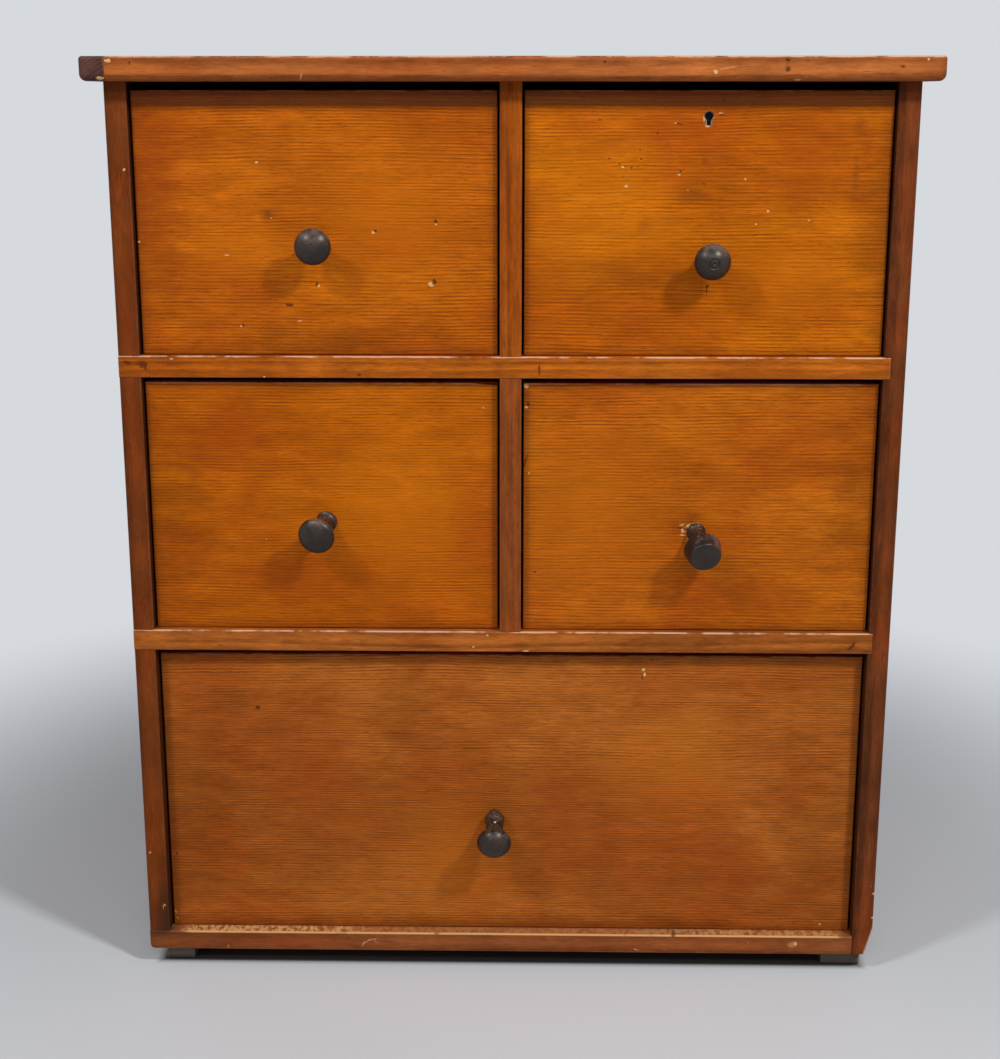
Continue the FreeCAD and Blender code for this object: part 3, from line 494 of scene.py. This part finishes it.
# Marks on the front edges of the carcass, in millimetres from each board's lower left corner
carcass_marks = {
    "top_board": [
        ("scratch", 465.4, 9.4, 9, 0.5, 9), ("chip", 457.2, 6.6, 1.6, 1.3), ("dent", 509, 14.9, 2.2, 1.2),
        ("dent", 509.6, 8.3, 2, 1.6), ("smudge", 509, 11, 2.5, 5), ("smudge", 592.7, 10.6, 3.4, 2.4),
        ("dent", 592.9, 10.4, 1.1, 0.9), ("chip", 611.2, 15.5, 0.9, 0.9), ("chip", 516.8, 1, 2.2, 0.7),
        ("scratch", 152.9, 3.2, 0.5, 2.6, -10), ("chip", 10.6, 14.8, 2.6, 1.4), ("dent", 27, 13, 0.6, 2.2),
        ("dent", 375.8, 13.5, 1.3, 1.3),
    ],
    "top_left_end": [("chip", 16, 2.2, 3.2, 1.2)],
    "upper_rail": [
        ("knot", 6.6, 12.1, 4, 1.8, -20), ("knot", 19.2, 9.6, 6.5, 3, -25), ("chip", 41.9, 14.7, 1.5, 0.8),
        ("dent", 187.5, 2.6, 2, 0.9), ("chip", 113.6, 0.8, 0.9, 0.7), ("dent", 327.3, 7, 0.7, 4.6),
        ("smudge", 327, 7, 4, 6), ("smudge", 295.4, 8.1, 7, 7),
    ],
    "lower_rail": [
        ("smudge", 579.5, 7.5, 3.4, 7, -35), ("knot", 580, 6.7, 1.6, 5, -35), ("smudge", 312.8, 7, 9, 5),
        ("chip", 286.6, 13.9, 1.2, 0.7), ("chip", 275.2, 4.2, 1.1, 0.7), ("chip", 317.8, 0.9, 2.4, 0.6),
    ],
    "bottom_board": [
        ("patch", 543, 8.4, 4.4, 3.4), ("chip", 546, 9.4, 1.6, 1.8), ("smudge", 560, 8, 8, 4),
        ("scratch", 66, 2.4, 0.5, 2), ("redder", 120, 8, 60, 8), ("soot", 10, 15, 16, 4),
        ("scratch", 184, 8, 5, 0.6, 35), ("scratch", 188.5, 9.6, 4, 0.5, 15),
        ("scratch", 181, 6, 0.6, 3, -20),
        ("scratch", 192, 7.4, 3, 0.4, -30), ("chip", 411.6, 2.6, 2, 0.5, -20), ("dent", 443, 15.6, 1.8, 0.9),
    ],
    "left_side": [
        ("chip", 12.4, 632, 1.1, 1.1), ("knot", 1.2, 628, 1.3, 3.6), ("dent", 0.4, 655, 0.8, 4),
        ("dent", 0.4, 600, 0.6, 6), ("darker", 8, 560, 9, 60), ("redder", 8, 500, 9, 70),
        ("soot", 14, 20, 9, 60), ("soot", 12, 12, 9, 34), ("darker", 8, 130, 9, 150),
        ("darker", 8, 60, 10, 120),
        ("scratch", 12.4, 22, 0.4, 3), ("chip", 3.6, 72, 0.9, 0.9), ("chip", 13.8, 24, 0.6, 1.4),
    ],
    "right_side": [("chip", 16.3, 56, 1.6, 0.8), ("chip", 16.3, 34, 1.4, 0.9)],
}

# The corner that is knocked off the right side: how far it reaches inward, up and back
corner_width, corner_height, corner_depth = 6.5 * mm, 24 * mm, 40 * mm

# The painted shadow strip of the upper fronts under the top, with a soft lower edge
strip_full, strip_ends = 11.2 * mm, 12.6 * mm


def wear_ledge(board):
    """Drawers and hands have worn the front of the bottom board's upper face to bare wood."""
    x, y, z = board.parts(board.place)
    ragged = board.ragged(board.place, (170, 170, 170), 4.0, 0.65)
    on_top = board.fade(board.from_face("top"), 1.6 * mm, 0.6 * mm)
    past_left_side = board.less(x, board.low.x + 20 * mm)
    from_ends = board.math("MINIMUM", past_left_side, board.from_face("right"))
    from_ends = board.add(from_ends, board.times(ragged, 26 * mm))
    worn = board.times(on_top, board.fade(from_ends, 5 * mm, 16 * mm))

    # Most at the left, less at the right and least between
    from_left = board.add(board.from_face("left"), board.times(ragged, 40 * mm))
    from_right = board.add(board.from_face("right"), board.times(ragged, 60 * mm))
    more_left = board.times(board.fade(from_left, 190 * mm, 150 * mm), 0.6)
    more_right = board.times(board.fade(from_right, 200 * mm, 120 * mm), 0.28)
    amount = board.add(0.22, board.add(more_left, more_right))

    # A broad spotted strip, and a thin bright line along the very edge
    back = board.add(board.from_face("front"), board.times(ragged, 9 * mm))
    spots = board.fade(board.noise(board.place, (300, 150, 150), 4.0, 0.7), 0.4, 0.56)
    broad = board.times(board.fade(back, 15 * mm, 8 * mm), board.times(spots, amount))
    broken = board.fade(board.noise(board.place, (36, 3, 3), 4.0, 0.7), 0.34, 0.44)
    edge = board.fade(board.from_face("front"), 2.2 * mm, 1.0 * mm)
    edge = board.times(edge, board.times(broken, 0.85))
    board.lay(board.times(on_top, 0.35), thin_ledge)
    board.lay(board.times(worn, board.math("MAXIMUM", broad, edge)), worn_ledge)


def rub_and_highlight_top_edge(board, share):
    """The front upper edge, rubbed nearly bare in a thin broken line that is partly a painted highlight."""
    ragged = board.ragged(board.place, (90, 300, 300), 3.0, 0.6)
    down = board.add(board.from_face("top"), board.times(ragged, 1.6 * mm))
    near_front = board.fade(board.from_face("front"), 2.4 * mm, 0.9 * mm)
    line = board.times(board.fade(down, 1.3 * mm, 0.5 * mm), near_front)
    broken = board.fade(board.noise(board.place, (30, 3, 3), 4.0, 0.65), 0.4, 0.54)
    board.lay(board.times(board.times(line, broken), share), worn_and_highlit_edge)


def wear_corner(board):
    """Bare wood on the facet where the right side's lower corner is knocked off."""
    inward = board.from_face("right")
    plane = board.math("DIVIDE", inward, corner_width)
    for face, reach in (("bottom", corner_height), ("front", corner_depth)):
        plane = board.add(plane, board.math("DIVIDE", board.from_face(face), reach))
    facet = board.fade(board.math("ABSOLUTE", board.less(plane, 1.0)), 0.2, 0.12)
    board.lay(board.times(facet, board.fade(inward, 0.1 * mm, 0.5 * mm)), knocked_corner)


def paint_dirt_and_shade_beside_drawers(board, faces):
    """Dirt and painted shade on the faces that the drawers slide past, behind the front edge."""
    behind = board.fade(board.from_face("front"), 0.4 * mm, 1.6 * mm)
    for face in faces:
        on_face = board.times(board.fade(board.from_face(face), 0.8 * mm, 0.2 * mm), behind)
        board.lay(board.times(on_face, 0.8), old_dirt)


def paint_shadow_under_top(board):
    """A painted shadow: the strip of an upper front that the top keeps in its shade, painted darker."""
    down = board.add(board.from_face("top"), board.times(board.rough, 1.2 * mm))
    strip = board.fade(down, strip_ends, strip_full)
    board.lay(board.times(strip, 0.66), painted_top_shadow)


def make_carcass_boards():
    """The boards that show round the drawers, worn where hands and drawers rub them, with painted highlights
    along some upper edges and painted shade beside the drawers.
    """
    for node, (along, heart, ring, *colours, wear) in carcass_boards.items():
        board = Board(node + "_pine", node, along, heart, ring)
        board.stain(colours, contrast=0.75, streaks=0.6, red=0.28, uneven=0.6)
        board.age(dirt=0.35, wear=wear)
        board.knocks(share=0.4, spacing=20.0)
        if node in rubbed_and_highlit_along_top:
            # A worn upper edge, partly a painted highlight
            rub_and_highlight_top_edge(board, 0.7)
        if node in beside_drawers:
            # Dirt and painted shade on the faces beside the drawers
            paint_dirt_and_shade_beside_drawers(board, beside_drawers[node])
        if node == "bottom_board":
            wear_ledge(board)
        if node == "right_side":
            wear_corner(board)
        if node == "top_board":
            board.gloss = board.add(board.gloss, 0.16)
        board.marks(carcass_marks.get(node, []))
        wax(board.shader)
        cover(node, board.done())


# Boards inside, behind and below the chest, by a part of their names
inner_parts = ("runner", "back_rail", "guides", "stops", "skids", "back_board")

# The pale, deep and line colours of wood that was never waxed
skid_colours = ((98, 86, 76), (72, 62, 54), (46, 38, 32))
lining_colours = ((208, 166, 114), (186, 140, 90), (146, 98, 54))
inner_colours = ((180, 138, 92), (152, 112, 72), (110, 74, 42))


def grain_of(node):
    """Which way the grain of an inner board runs: along its length, or across a drawer's bottom."""
    if node.endswith("drawer_bottom"):
        return "x"
    low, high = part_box(node)
    size = high - low
    return "xyz"[max(range(3), key=lambda axis: size[axis])]


def make_inner_boards():
    """The linings of the drawers and the boards inside and behind, left bare."""
    for node in boards:
        lining = "_drawer_" in node and not node.endswith("_front")
        inner = any(part in node for part in inner_parts)
        if not (lining or inner):
            continue
        chance = random.Random(node)
        heart = (chance.uniform(30, 90), chance.choice((-1, 1)) * chance.uniform(60, 160))
        board = Board(node + "_bare_pine", node, grain_of(node), heart, chance.uniform(3.6, 5.6))
        colours = lining_colours if lining else inner_colours
        if node == "skids":
            colours = skid_colours
        board.stain(colours, contrast=0.6, red=0.07, uneven=0.3)
        board.gloss = board.between(board.fibres, 0.6, 0.8)
        board.age(dirt=0.4, wear=0.3, worn_to=bare_wood)
        cover(node, board.done(0.3))


# Where the nail that holds the bottom drawer's knob shows, on the upper side of the knob's foot
nail_place = Vector((-12.3, -190.5, 136.5)) * mm
nail_points = Vector((0.05, -0.333, 0.941))

# How each turned knob leans aside and droops, in degrees
knob_leans = {
    "upper_left": (0.0, 2.5),
    "upper_right": (4.5, 3.8),
    "middle_left": (-10.5, 10.5),
    "middle_right": (8.5, 20.0),
    "bottom": (0.0, 19.5),
}


def make_knobs():
    """Turned wood stained nearly black, waxed, rubbed where hands take hold of it, and with painted
    highlights on what faces up and round the upper rim.
    """
    for name, (lean, droop) in knob_leans.items():
        node = name + "_knob"
        low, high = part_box(node)
        half = (high.x - low.x) / 2
        coat = Finish(name + "_knob_stain")
        middle = ((low.x + high.x) / 2, low.y, (low.z + high.z) / 2)
        turned = Euler((math.radians(droop), 0.0, math.radians(lean)))
        x, y, z = coat.parts(coat.seen_from(middle, turned, (1, 1, 1)))
        radius = coat.length(coat.vector(x, 0.0, z))
        lathe = coat.noise(coat.vector(radius, y, 0.0), (1500, 1500, 1), 2.0)
        cloud = coat.noise(coat.place, (90, 90, 90), 3.0)
        fine = coat.noise(coat.place, (700, 700, 700), 3.0, 0.6)
        colour = coat.mix(coat.fade(cloud, 0.38, 0.66), knob_black, knob_brown)

        # The wax is rubbed through in specks, shown only on what faces up so that they are also a painted
        # highlight, and a painted highlight lies in a band round the upper rim of the face
        up = coat.parts(coat.nodes.new("ShaderNodeNewGeometry").outputs["Normal"])[2]
        rubbed = coat.times(coat.fade(fine, 0.46, 0.66), coat.fade(cloud, 0.4, 0.56))
        rubbed = coat.times(rubbed, coat.fade(up, -0.2, 0.9))
        colour = coat.mix(coat.times(rubbed, 0.5), colour, knob_bare_and_highlight)
        # A painted highlight round the upper rim of the face
        rim_highlight = coat.times(coat.fade(radius, 0.6 * half, 0.84 * half), coat.fade(up, 0.1, 0.7))
        rim_highlight = coat.times(rim_highlight, coat.fade(cloud, 0.3, 0.6))
        colour = coat.mix(coat.times(rim_highlight, 0.4), colour, knob_rim_highlight)
        if name == "bottom":
            from_nail = coat.length(coat.seen_from(nail_place, (0, 0, 0), (1, 1, 1)))
            dirt = coat.fade(from_nail, 2.6 * mm, 1.6 * mm)
            colour = coat.mix(coat.times(dirt, 0.8), colour, nail_dirt)
        height = coat.add(coat.times(lathe, 0.4), coat.times(fine, 0.4))
        wax(coat.shader, coat=0.1, gloss=0.28, specular=0.38, tint=(255, 240, 228))
        cover(node, coat.finish(colour, coat.between(fine, 0.26, 0.5), height, 0.1 * mm))


# Metal fittings: the metal, its pale, dark and rust colours, how rough it is and how metallic
fittings = {
    "lock_case": ("lock_iron", (96, 90, 86), (62, 56, 52), (86, 56, 36), 0.42, 0.9),
    "nails": ("nail_iron", (104, 92, 84), (70, 58, 52), (96, 60, 38), 0.4, 0.9),
    "lock_screws": ("screw_iron", (120, 114, 106), (80, 74, 68), (90, 62, 42), 0.36, 0.9),
    "lock_bolt": ("bolt_brass", (186, 156, 96), (140, 112, 62), (88, 66, 40), 0.34, 0.9),
    "keyhole_liner": ("liner_metal", (176, 168, 156), (98, 88, 78), (52, 40, 32), 0.45, 0.7),
    "bottom_knob_nail": ("bright_nail", (206, 200, 192), (170, 160, 150), (110, 90, 74), 0.26, 0.9),
}
nail_head_metal = ("nail_head_metal", (226, 220, 212), (186, 178, 168), (120, 98, 80), 0.22, 0.9)

# Half of the nail's head and shank seen from the side: how far out and how far up, in millimetres
nail_profile = [
    (0, 0.7), (0.5, 0.66), (0.9, 0.5), (1.2, 0.24), (1.3, 0), (1.1, -0.3), (0.7, -0.5),
    (0.7, -3.4), (0.3, -4.6), (0, -5),
]
nail_sides = 28

# Slivers round the foot of the middle right knob: angle clockwise from above, length and lift
splinters = [
    (-120, 4.2, 14), (-108, 3.6, 24), (-94, 3.0, 12), (-78, 4.8, 26), (-66, 4.0, 12), (-50, 3.4, 24),
    (-34, 2.8, 14), (-16, 2.4, 20), (4, 2.4, 12), (24, 2.6, 18),
]

# The middle of that foot, from the front's lower left corner, how far from it the slivers start,
# and how thick, how sharp and how flat they are
foot_right, foot_up = 138 * mm, 81 * mm
foot_radius = 7.2 * mm
splinter_radius, splinter_tip, splinter_flatness = 0.55 * mm, 0.12 * mm, 0.4


def meshed(bm, name):
    """The mesh of a finished shape."""
    mesh = bpy.data.meshes.new(name)
    bm.to_mesh(mesh)
    bm.free()
    return mesh


def put(name, data):
    """A new object in the scene, from its mesh, light or camera."""
    made = bpy.data.objects.new(name, data)
    bpy.context.scene.collection.objects.link(made)
    return made


def metal(name, pale, dark, rust, roughness, metallic, black_above=None):
    """Old metal: darkened in clouds, with rust in its low spots, and black above a height if given."""
    coat = Finish(name)
    cloud = coat.noise(coat.place, (160, 160, 160), 4.0, 0.6)
    pits = coat.noise(coat.place, (900, 900, 900), 3.0, 0.6)
    colour = coat.mix(coat.fade(cloud, 0.38, 0.62), shade(*pale), shade(*dark))
    colour = coat.mix(coat.times(coat.fade(pits, 0.5, 0.7), 0.7), colour, shade(*rust))
    if black_above is not None:
        height = coat.add(coat.parts(coat.place)[2], coat.times(coat.less(pits, 0.5), 4 * mm))
        blackened = coat.fade(height, black_above, black_above + 2 * mm)
        colour = coat.mix(coat.times(blackened, 0.85), colour, liner_black)
    coat.shader.inputs["Metallic"].default_value = metallic
    return coat.finish(colour, coat.between(pits, roughness, roughness + 0.25), pits, 0.15 * mm)


def make_fittings():
    """The lock, its screws and bolt, the keyhole's liner and the nails."""
    for node, look in fittings.items():
        black_above = None
        if node == "keyhole_liner":
            low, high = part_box(node)
            black_above = (low.z + high.z) / 2
        cover(node, metal(*look, black_above))


def make_nail_head():
    """The domed head of the knob's nail, with the start of its shank, turned on a lathe."""
    bm = bmesh.new()
    verts = [bm.verts.new((radius * mm, 0, height * mm)) for radius, height in nail_profile]
    line = [bm.edges.new(pair) for pair in zip(verts, verts[1:])]
    bmesh.ops.spin(bm, geom=verts + line, cent=(0, 0, 0), axis=(0, 0, 1), angle=math.tau,
                   steps=nail_sides, use_merge=True)
    bmesh.ops.remove_doubles(bm, verts=bm.verts, dist=0.001 * mm)
    bmesh.ops.recalc_face_normals(bm, faces=bm.faces)
    turned = nail_points.to_track_quat("Z", "Y").to_matrix().to_4x4()
    bmesh.ops.transform(bm, verts=bm.verts, matrix=Matrix.Translation(nail_place) @ turned)
    mesh = meshed(bm, "knob_nail_head")
    mesh.shade_smooth()
    mesh.materials.append(metal(*nail_head_metal))
    piece = put("knob_nail_head", mesh)
    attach(piece, "bottom_drawer")


def make_splinters():
    """Slivers that lifted round the foot of the leaning knob, where the front is split."""
    low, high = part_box("middle_right_drawer_front")
    foot = Vector((low.x + foot_right, low.y, low.z + foot_up))
    bm = bmesh.new()
    chance = random.Random("splinters")
    for angle, length, lift in splinters:
        made = bmesh.ops.create_cone(
            bm, segments=5, radius1=splinter_radius, radius2=splinter_tip, depth=length * mm)["verts"]
        bmesh.ops.translate(bm, verts=made, vec=(0, 0, length * mm / 2))
        bmesh.ops.scale(bm, verts=made, vec=(1.0, splinter_flatness, 1.0))
        for vert in made:
            vert.co.x += chance.uniform(-0.15, 0.15) * mm
        outward = Euler((math.radians(lift), 0, 0)).to_matrix().to_4x4()
        round_foot = Matrix.Rotation(math.radians(angle), 4, "Y")
        along = Matrix.Rotation(math.radians(chance.uniform(-50, 50)), 4, "Y")
        start = round_foot @ Vector((0, 0.4 * mm, foot_radius))
        placing = Matrix.Translation(foot + start) @ round_foot @ along @ outward
        bmesh.ops.transform(bm, verts=made, matrix=placing)
    bmesh.ops.recalc_face_normals(bm, faces=bm.faces)
    coat = Finish("splinter_pine")
    fibres = coat.noise(coat.place, (700, 700, 700), 3.0, 0.6)
    colour = coat.mix(coat.fade(fibres, 0.36, 0.66), split_pine, split_pine_dark)
    mesh = meshed(bm, "front_splinters")
    mesh.materials.append(coat.finish(colour, coat.between(fibres, 0.6, 0.8), fibres, 0.2 * mm))
    piece = put("front_splinters", mesh)
    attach(piece, "middle_right_drawer")


# The backdrop in metres: a floor from front to back, a wall, and the sweep that joins them
floor_front, floor_back = -5.0, 2.6
wall_height, sweep = 4.0, 1.2
backdrop_half_width = 6.0

# Lamps: where each stands, its width and height in metres, and its power in watts
lamps = {
    "left_lamp": ((-1.1, -1.25, 1.78), 0.26, 0.26, 13.8),
    "middle_lamp": ((0.05, -2.35, 1.88), 1.9, 0.2, 10.6),
    "right_lamp": ((1.1, -1.25, 1.78), 0.22, 0.22, 24.0),
}
lamps_aim = Vector((0.0, -0.18, 0.5))
room_strength = 0.24


def make_backdrop():
    """A pale floor that sweeps up into a wall far behind the chest."""
    bm = bmesh.new()
    ends = [(floor_front, 0.0), (floor_back, 0.0), (floor_back, wall_height)]
    sides = (-backdrop_half_width, backdrop_half_width)
    rows = [[bm.verts.new((side, y, z)) for y, z in ends] for side in sides]
    for number in range(len(ends) - 1):
        bm.faces.new([rows[0][number], rows[1][number], rows[1][number + 1], rows[0][number + 1]])
    corner = [edge for edge in bm.edges if all(vert.co.yz == Vector(ends[1]) for vert in edge.verts)]
    bmesh.ops.bevel(bm, geom=corner, offset=sweep, affect="EDGES", segments=24, profile=0.5, material=-1)
    mesh = meshed(bm, "backdrop")
    mesh.shade_smooth()
    mesh.materials.append(backdrop_paper())
    backdrop = put("backdrop", mesh)


def backdrop_paper():
    """Pale paper with a painted shadow between the skids under the chest, that far from the chest shows its
    own colour.
    """
    paper = Finish("backdrop_paper")
    tone = paper.noise(paper.place, (3, 3, 3), 2.0)
    colour = paper.mix(tone, backdrop_pale, backdrop_grey)
    low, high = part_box("skids")
    x, y, z = paper.parts(paper.place)
    side = paper.less(high.x, paper.math("ABSOLUTE", x))
    inside = paper.math("MINIMUM", side, paper.math("MINIMUM", paper.less(y, low.y), paper.less(high.y, y)))
    # A painted shadow on the paper under the chest, between the skids
    colour = paper.mix(paper.fade(inside, -8 * mm, 4 * mm), colour, painted_shadow_under_chest)
    paper.finish(colour, paper.between(tone, 0.85, 0.95), tone, 0.02 * mm)

    # No shade gathers where the paper shows its own colour
    glow = paper.nodes.new("ShaderNodeEmission")
    glow.inputs["Color"].default_value = backdrop_pale
    far = paper.fade(paper.length(paper.place), 0.42, 1.0)
    both = paper.nodes.new("ShaderNodeMixShader")
    paper.give(both.inputs[0], paper.times(far, paper.seen_rays()))
    paper.links.new(paper.shader.outputs["BSDF"], both.inputs[1])
    paper.links.new(glow.outputs[0], both.inputs[2])
    paper.links.new(both.outputs[0], paper.output.inputs["Surface"])
    return paper.material


def make_light():
    """Soft lamps above and in front, to the left, middle and right, and a pale room round them."""
    for name, (place, width, height, power) in lamps.items():
        light = bpy.data.lights.new(name, "AREA")
        light.shape = "RECTANGLE"
        light.size = width
        light.size_y = height
        light.energy = power
        lamp = put(name, light)
        lamp.location = place
        lamp.rotation_euler = (lamps_aim - Vector(place)).to_track_quat("-Z", "Y").to_euler()

    # The room lights the chest softly, and shows as pale as the backdrop behind it
    world = bpy.data.worlds.new("pale_room")
    world.use_nodes = True
    room = Nodes("pale_room", world.node_tree)
    light = room.nodes["Background"]
    light.inputs["Color"].default_value = room_white
    light.inputs["Strength"].default_value = room_strength
    view = room.nodes.new("ShaderNodeBackground")
    view.inputs["Color"].default_value = backdrop_pale
    both = room.nodes.new("ShaderNodeMixShader")
    room.give(both.inputs[0], room.seen_rays())
    room.links.new(light.outputs[0], both.inputs[1])
    room.links.new(view.outputs[0], both.inputs[2])
    room.links.new(both.outputs[0], room.nodes["World Output"].inputs["Surface"])
    bpy.context.scene.world = world


def make_camera():
    """A camera nearly as high as the top of the chest, looking down at its front."""
    camera = bpy.data.cameras.new("camera")
    camera.lens = camera_lens
    camera.sensor_fit = "VERTICAL"
    camera.sensor_height = sensor_height
    viewer = put("camera", camera)
    front_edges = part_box("left_side")[0].y
    viewer.location = (camera_aside, front_edges - camera_away, camera_height)
    viewer.rotation_euler = (math.radians(90) - camera_pitch, 0.0, camera_yaw)
    bpy.context.scene.camera = viewer


make_fronts()
make_carcass_boards()
make_inner_boards()
make_knobs()
make_fittings()
make_nail_head()
make_splinters()
make_backdrop()
make_light()
make_camera()

bpy.context.scene.view_settings.view_transform = "Standard"
